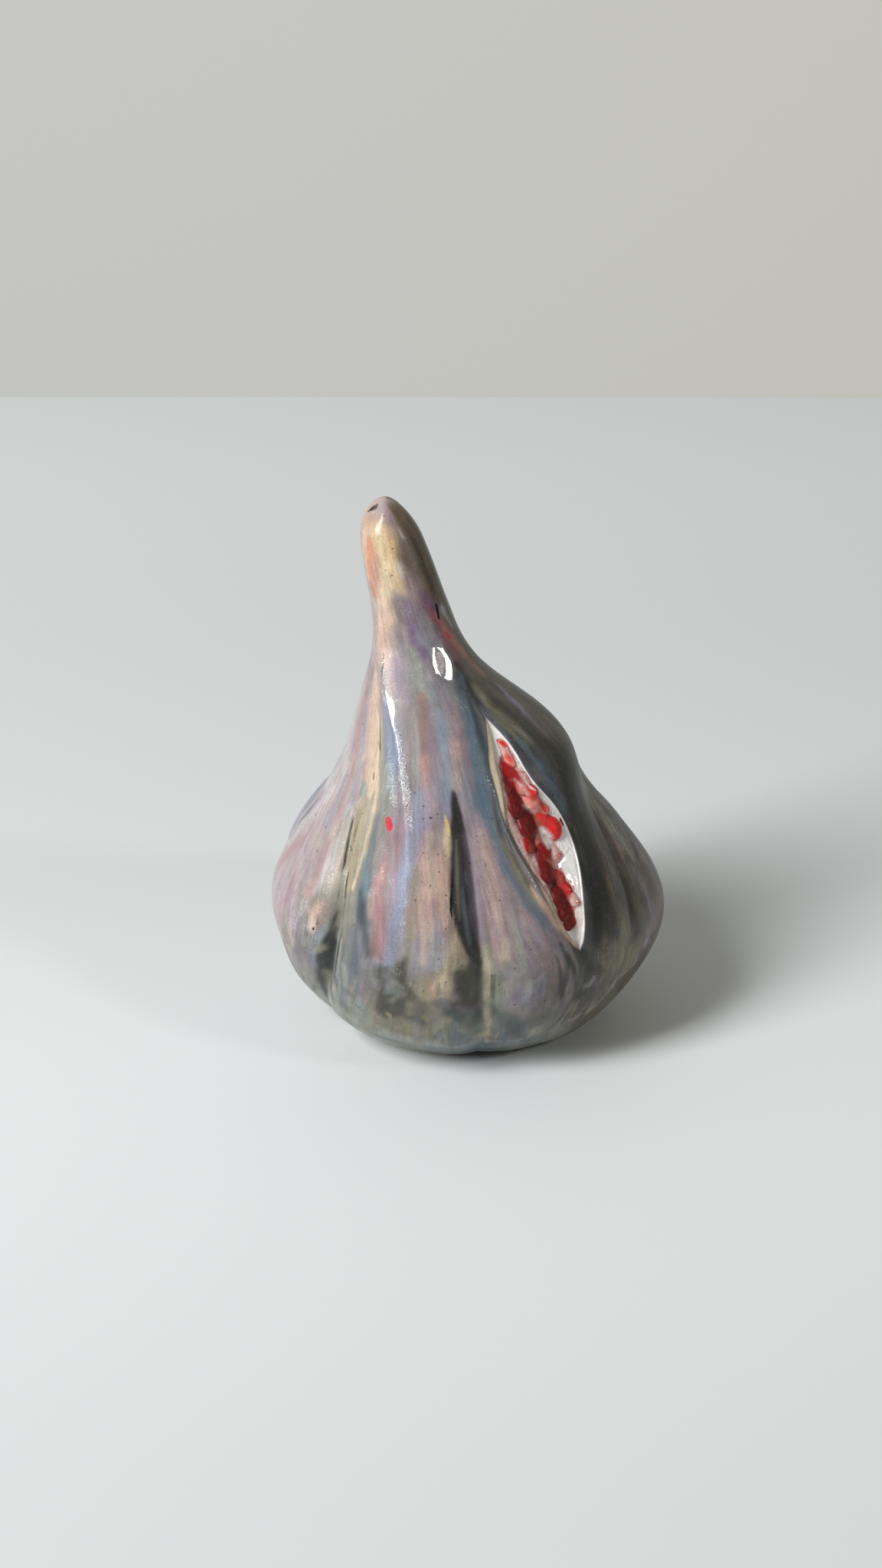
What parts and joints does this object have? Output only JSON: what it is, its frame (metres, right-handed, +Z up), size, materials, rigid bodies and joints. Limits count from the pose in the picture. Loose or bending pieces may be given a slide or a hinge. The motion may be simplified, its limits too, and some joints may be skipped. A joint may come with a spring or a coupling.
{
  "type": "glazed ceramic fig ornament",
  "caption": "Glazed ceramic fig: a lobed, hand-modelled body with a leaning stem, split open at the front to show white flesh and a cluster of red seeds. Stands on a flat foot.",
  "frame": {"origin": "middle of the flat foot", "axes": "+Z up from the foot towards the stem, -Y towards the side with the split, +X to the right seen from that side"},
  "size_m": [0.0484, 0.0474, 0.0668],
  "materials": {
    "painted_skin": "hand-painted in mauve, grey, teal, olive and cream strokes under a clear gloss glaze",
    "white_flesh": "white, gloss glaze",
    "red_seeds": "red brushed over white, gloss glaze"
  },
  "bodies": {
    "root": {"fig_body": "painted_skin", "split_flesh": "white_flesh", "seed_cluster": "red_seeds"}
  },
  "joints": []
}
